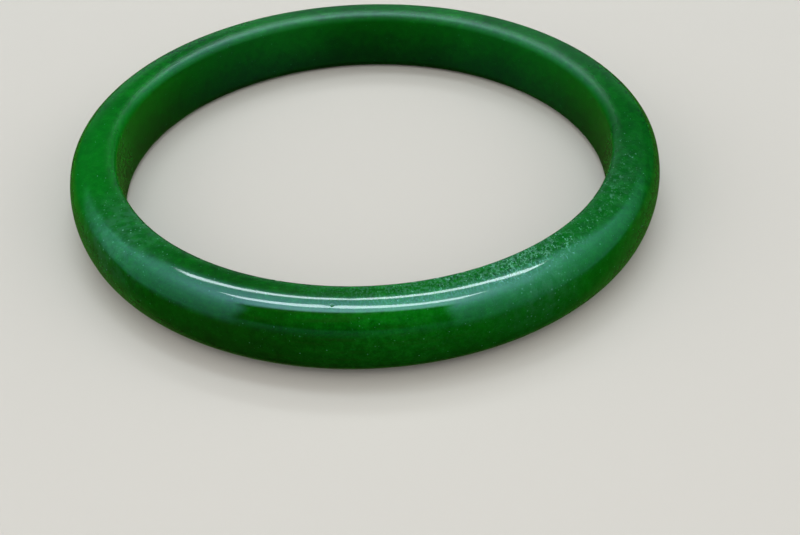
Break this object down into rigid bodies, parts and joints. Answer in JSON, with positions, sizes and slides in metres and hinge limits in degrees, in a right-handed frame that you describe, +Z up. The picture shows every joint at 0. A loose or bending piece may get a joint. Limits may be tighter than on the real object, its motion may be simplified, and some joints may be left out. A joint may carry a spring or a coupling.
{
  "type": "bangle bracelet",
  "caption": "Rigid closed ring bracelet carved from one piece of polished green stone, D-shaped in section with a straight wall against the wrist.",
  "frame": {"origin": "centre of the ring, on the plane it lies flat on", "axes": "+Z up along the ring's own axis; the ring is round about +Z, so +X and +Y are any two directions across it"},
  "size_m": [0.0672, 0.0672, 0.0079],
  "materials": {
    "jade": "high polish, translucent emerald green jade with darker clouds, fine pale flecks and a few tiny pits"
  },
  "bodies": {
    "root": {"jade_ring": "jade"}
  },
  "joints": []
}
